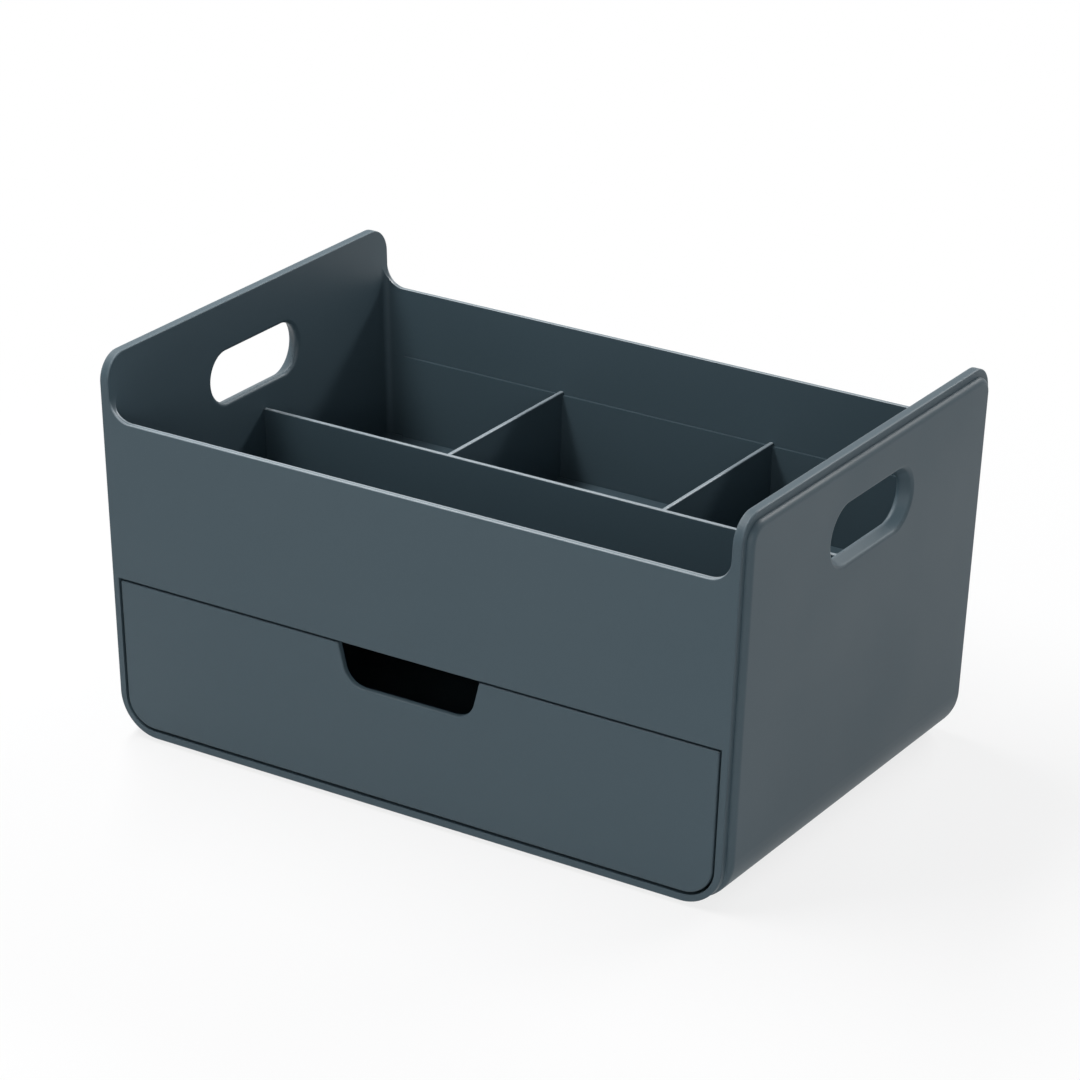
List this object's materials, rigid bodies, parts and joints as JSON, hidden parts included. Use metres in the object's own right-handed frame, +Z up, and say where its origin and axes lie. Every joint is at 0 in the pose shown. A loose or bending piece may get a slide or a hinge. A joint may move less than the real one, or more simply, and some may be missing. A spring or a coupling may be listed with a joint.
{
  "type": "desk_organizer_with_drawer",
  "caption": "Flared desk organizer with high rounded sides, hand-holds, divided open compartments and a flush drawer with a finger notch below",
  "frame": {"origin": "under the middle of the case, on the surface that the feet stand on", "axes": "+X across the front to the right, +Y from the front to the back, +Z up; the drawer opens along -Y"},
  "size_m": [0.2796, 0.1818, 0.1533],
  "materials": {
    "case_plastic": "dark slate grey, fine moulded grain",
    "drawer_plastic": "dark slate grey, fine moulded grain",
    "foot_rubber": "dark grey, smooth"
  },
  "bodies": {
    "case": {"case_shell": "case_plastic", "compartment_tray": "case_plastic", "long_divider": "case_plastic", "left_cross_divider": "case_plastic", "right_cross_divider": "case_plastic", "front_foot_strip": "foot_rubber", "rear_foot_strip": "foot_rubber"},
    "drawer": {"drawer": "drawer_plastic"}
  },
  "joints": [
    {"name": "drawer_slide", "type": "slide", "parent": "case", "child": "drawer", "axis": [0, -1, 0], "range_m": [0, 0.12]}
  ]
}
